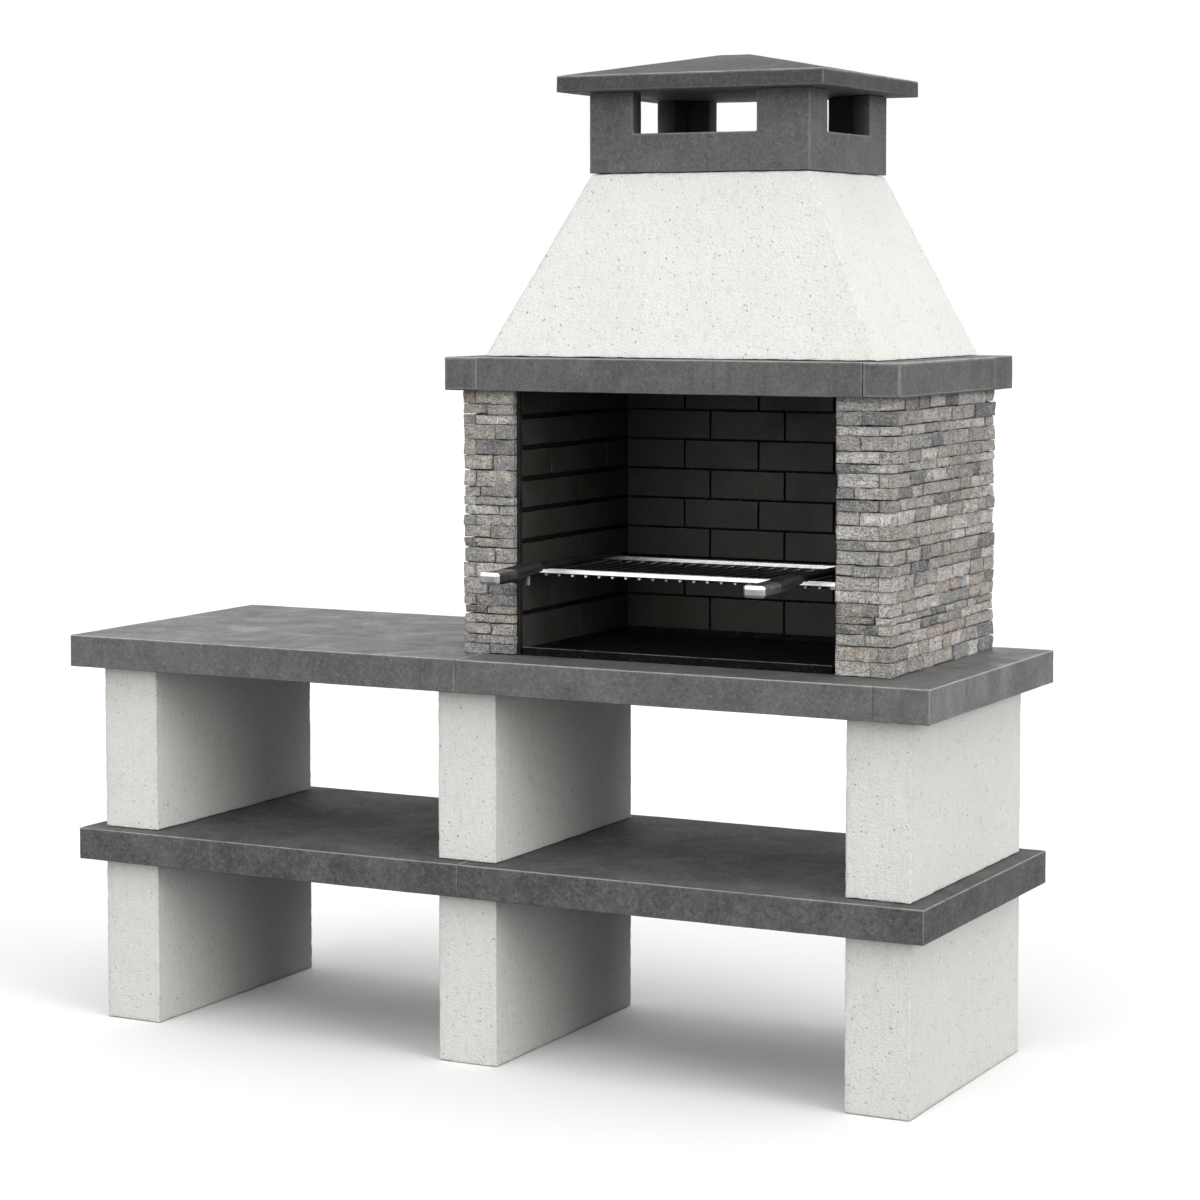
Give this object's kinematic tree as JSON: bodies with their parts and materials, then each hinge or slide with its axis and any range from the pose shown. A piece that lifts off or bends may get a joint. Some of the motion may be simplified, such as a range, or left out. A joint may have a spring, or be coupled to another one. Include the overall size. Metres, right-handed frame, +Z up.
{
  "type": "masonry barbecue",
  "caption": "Outdoor masonry barbecue: concrete slabs on white piers, a stone-clad firebox with a sliding grill and ember tray, and a hollow hood with a capped chimney.",
  "frame": {"origin": "on the ground, under the middle of the whole outline, handles included", "axes": "+X along the worktop towards the firebox end, +Y from the front to the back, +Z up"},
  "size_m": [1.96, 0.766, 2.0435],
  "materials": {
    "white_render": "bush-hammered off-white render",
    "grey_slab": "anthracite cast concrete with worn arrises",
    "wall_concrete": "grey cast concrete",
    "ledger_stone": "split-face dry-stacked stone",
    "liner_mortar": "dark refractory mortar",
    "black_brick": "black refractory brick",
    "black_steel": "matt black heat-proof paint",
    "chrome_steel": "bright chrome",
    "black_grip": "satin black heat-proof plastic",
    "satin_cap": "satin silver"
  },
  "bodies": {
    "masonry": {"lower_pier_left": "white_render", "lower_pier_middle": "white_render", "lower_pier_right": "white_render", "upper_pier_left": "white_render", "upper_pier_middle": "white_render", "upper_pier_right": "white_render", "hood": "white_render", "shelf_left": "grey_slab", "shelf_right": "grey_slab", "worktop_left": "grey_slab", "worktop_right": "grey_slab", "mantel_lintel": "grey_slab", "mantel_left": "grey_slab", "mantel_right": "grey_slab", "mantel_back": "grey_slab", "chimney_collar": "grey_slab", "roof_cap": "grey_slab", "side_wall_left": "wall_concrete", "side_wall_right": "wall_concrete", "back_wall": "wall_concrete", "stone_cladding_left": "ledger_stone", "stone_cladding_right": "ledger_stone", "liner_mortar_left": "liner_mortar", "liner_mortar_right": "liner_mortar", "liner_mortar_back": "liner_mortar", "liner_bricks_left": "black_brick", "liner_bricks_right": "black_brick", "liner_bricks_back": "black_brick", "edge_trim_left": "black_steel", "edge_trim_right": "black_steel", "grill_ledge_left": "black_steel", "grill_ledge_right": "black_steel"},
    "grill": {"grill_bar_front": "chrome_steel", "grill_bar_rear": "chrome_steel", "grill_rods": "chrome_steel", "handle_shaft_left": "black_steel", "handle_shaft_right": "black_steel", "handle_grip_left": "black_grip", "handle_grip_right": "black_grip", "handle_cap_left": "satin_cap", "handle_cap_right": "satin_cap", "handle_fin_left": "black_steel", "handle_fin_right": "black_steel"},
    "tray": {"ember_tray": "black_steel"}
  },
  "joints": [
    {"name": "grill_slide", "type": "slide", "parent": "masonry", "child": "grill", "axis": [0, -1, 0], "range_m": [0, 0.4]},
    {"name": "tray_slide", "type": "slide", "parent": "masonry", "child": "tray", "axis": [0, -1, 0], "range_m": [0, 0.36]}
  ]
}
